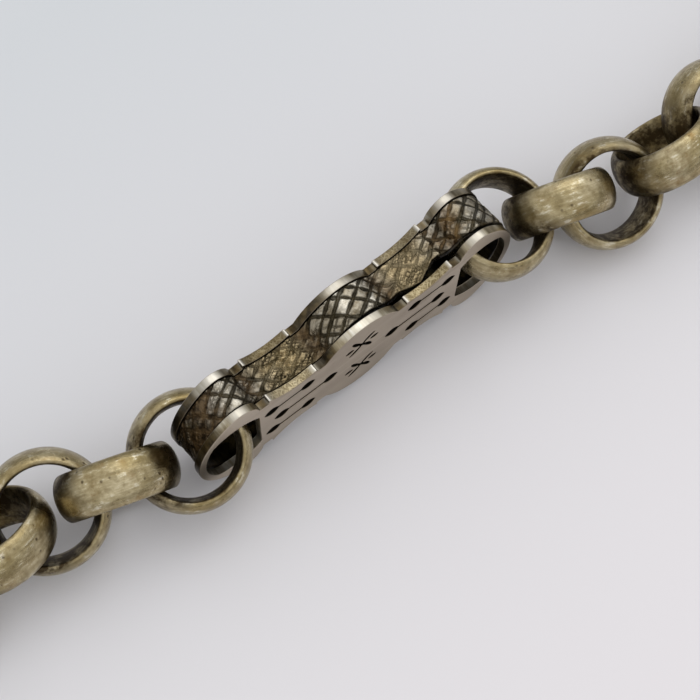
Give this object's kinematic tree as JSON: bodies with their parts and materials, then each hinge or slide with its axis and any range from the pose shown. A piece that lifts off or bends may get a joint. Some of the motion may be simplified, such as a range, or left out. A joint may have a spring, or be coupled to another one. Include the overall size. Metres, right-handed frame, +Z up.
{
  "type": "pocket watch chain",
  "caption": "Pocket watch chain of domed belcher rings with a pierced, crosshatch-engraved fancy link, a swivel clip for the watch and a T-bar for the buttonhole.",
  "frame": {"origin": "centre of the bow seat in the swivel clip's hook, where the watch hangs", "axes": "+X from the clip along the chain to the T-bar, +Z up from the table that the chain lies on, square to the flat hook"},
  "size_m": [0.1046, 0.0319, 0.0087],
  "materials": {
    "ring_metal": "satin yellowish nickel silver, scratched, dark in the contact zones",
    "plate_metal": "grey worn nickel silver with bright edges",
    "engraved_metal": "bright engraved nickel silver with dark grooves",
    "fitting_metal": "worn polished nickel silver",
    "pin_steel": "plain steel"
  },
  "bodies": {
    "link": {"front_plate": "plate_metal", "back_plate": "plate_metal", "rim_strip": "engraved_metal"},
    "ring_left_1": {"ring_left_1": "ring_metal"},
    "ring_left_2": {"ring_left_2": "ring_metal"},
    "ring_left_3": {"ring_left_3": "ring_metal"},
    "ring_left_4": {"ring_left_4": "ring_metal"},
    "ring_left_5": {"ring_left_5": "ring_metal"},
    "ring_left_6": {"ring_left_6": "ring_metal"},
    "ring_right_1": {"ring_right_1": "ring_metal"},
    "ring_right_2": {"ring_right_2": "ring_metal"},
    "ring_right_3": {"ring_right_3": "ring_metal"},
    "ring_right_4": {"ring_right_4": "ring_metal"},
    "ring_right_5": {"ring_right_5": "ring_metal"},
    "ring_right_6": {"ring_right_6": "ring_metal"},
    "ring_right_7": {"ring_right_7": "ring_metal"},
    "swivel_eye": {"swivel_eye": "fitting_metal"},
    "clip": {"clip_body": "fitting_metal", "gate_pin": "pin_steel"},
    "gate": {"clip_gate": "fitting_metal"},
    "t_bar": {"bar": "fitting_metal", "bar_sleeve": "fitting_metal", "bar_eye": "fitting_metal"}
  },
  "joints": [
    {"name": "ring_left_1_rock", "type": "hinge", "parent": "link", "child": "ring_left_1", "pos_m": [0.03825, -0.00375, 0.00185], "axis": [1, 0, 0], "range_deg": [-40, 0]},
    {"name": "ring_left_2_swing", "type": "hinge", "parent": "ring_left_1", "child": "ring_left_2", "pos_m": [0.03825, -0.00375, 0.00185], "axis": [-0.0918, -0.37, 0.9245], "range_deg": [-12, 30]},
    {"name": "ring_left_3_swing", "type": "hinge", "parent": "ring_left_2", "child": "ring_left_3", "pos_m": [0.03382, -0.00248, 0.00149], "axis": [0.2982, 0.8976, 0.3248], "range_deg": [-30, 30]},
    {"name": "ring_left_4_swing", "type": "hinge", "parent": "ring_left_3", "child": "ring_left_4", "pos_m": [0.02956, -0.00134, 0.00144], "axis": [-0.0823, -0.4941, 0.8655], "range_deg": [-30, 22]},
    {"name": "ring_left_5_swing", "type": "hinge", "parent": "ring_left_4", "child": "ring_left_5", "pos_m": [0.02609, -0.00085, 0.00135], "axis": [0.0627, 0.6138, 0.7869], "range_deg": [-30, 22]},
    {"name": "ring_left_6_swing", "type": "hinge", "parent": "ring_left_5", "child": "ring_left_6", "pos_m": [0.02154, -0.00117, 0.00158], "axis": [-0.0123, -0.7071, 0.707], "range_deg": [-30, 30]},
    {"name": "ring_right_1_rock", "type": "hinge", "parent": "link", "child": "ring_right_1", "pos_m": [0.06295, -0.00375, 0.00185], "axis": [1, 0, 0], "range_deg": [-30, 2]},
    {"name": "ring_right_2_swing", "type": "hinge", "parent": "ring_right_1", "child": "ring_right_2", "pos_m": [0.06295, -0.00375, 0.00185], "axis": [0.0126, -0.244, 0.9697], "range_deg": [-30, 30]},
    {"name": "ring_right_3_swing", "type": "hinge", "parent": "ring_right_2", "child": "ring_right_3", "pos_m": [0.06731, -0.00508, 0.00156], "axis": [0.2707, 0.8732, 0.4052], "range_deg": [-30, 30]},
    {"name": "ring_right_4_swing", "type": "hinge", "parent": "ring_right_3", "child": "ring_right_4", "pos_m": [0.07075, -0.00633, 0.00099], "axis": [-0.2076, -0.598, 0.7742], "range_deg": [-30, 30]},
    {"name": "ring_right_5_swing", "type": "hinge", "parent": "ring_right_4", "child": "ring_right_5", "pos_m": [0.07558, -0.00676, 0.00192], "axis": [-0.0565, 0.7878, 0.6133], "range_deg": [-30, 30]},
    {"name": "ring_right_6_swing", "type": "hinge", "parent": "ring_right_5", "child": "ring_right_6", "pos_m": [0.08034, -0.00659, 0.00179], "axis": [0.0084, -0.6294, 0.777], "range_deg": [-30, 30]},
    {"name": "ring_right_7_swing", "type": "hinge", "parent": "ring_right_6", "child": "ring_right_7", "pos_m": [0.08495, -0.00651, 0.00153], "axis": [-0.0056, 0.8481, 0.5298], "range_deg": [-30, 30]},
    {"name": "swivel_eye_swing", "type": "hinge", "parent": "ring_left_6", "child": "swivel_eye", "pos_m": [0.01693, -0.00117, 0.00148], "axis": [0.0139, 0.7985, 0.6018], "range_deg": [-20, 30]},
    {"name": "clip_swivel", "type": "hinge", "parent": "swivel_eye", "child": "clip", "pos_m": [0.01375, 0, 0], "axis": [1, 0, 0], "continuous": true},
    {"name": "gate_open", "type": "hinge", "parent": "clip", "child": "gate", "pos_m": [0.00576, 0.00233, 0], "axis": [0, 0, 1], "range_deg": [0, 25], "stiffness_Nm_per_rad": 0.002, "springref_deg": -11.46},
    {"name": "bar_swing", "type": "hinge", "parent": "ring_right_7", "child": "t_bar", "pos_m": [0.0895, -0.00635, 0.00122], "axis": [0.0079, -0.4539, 0.891], "range_deg": [-30, 30]}
  ]
}
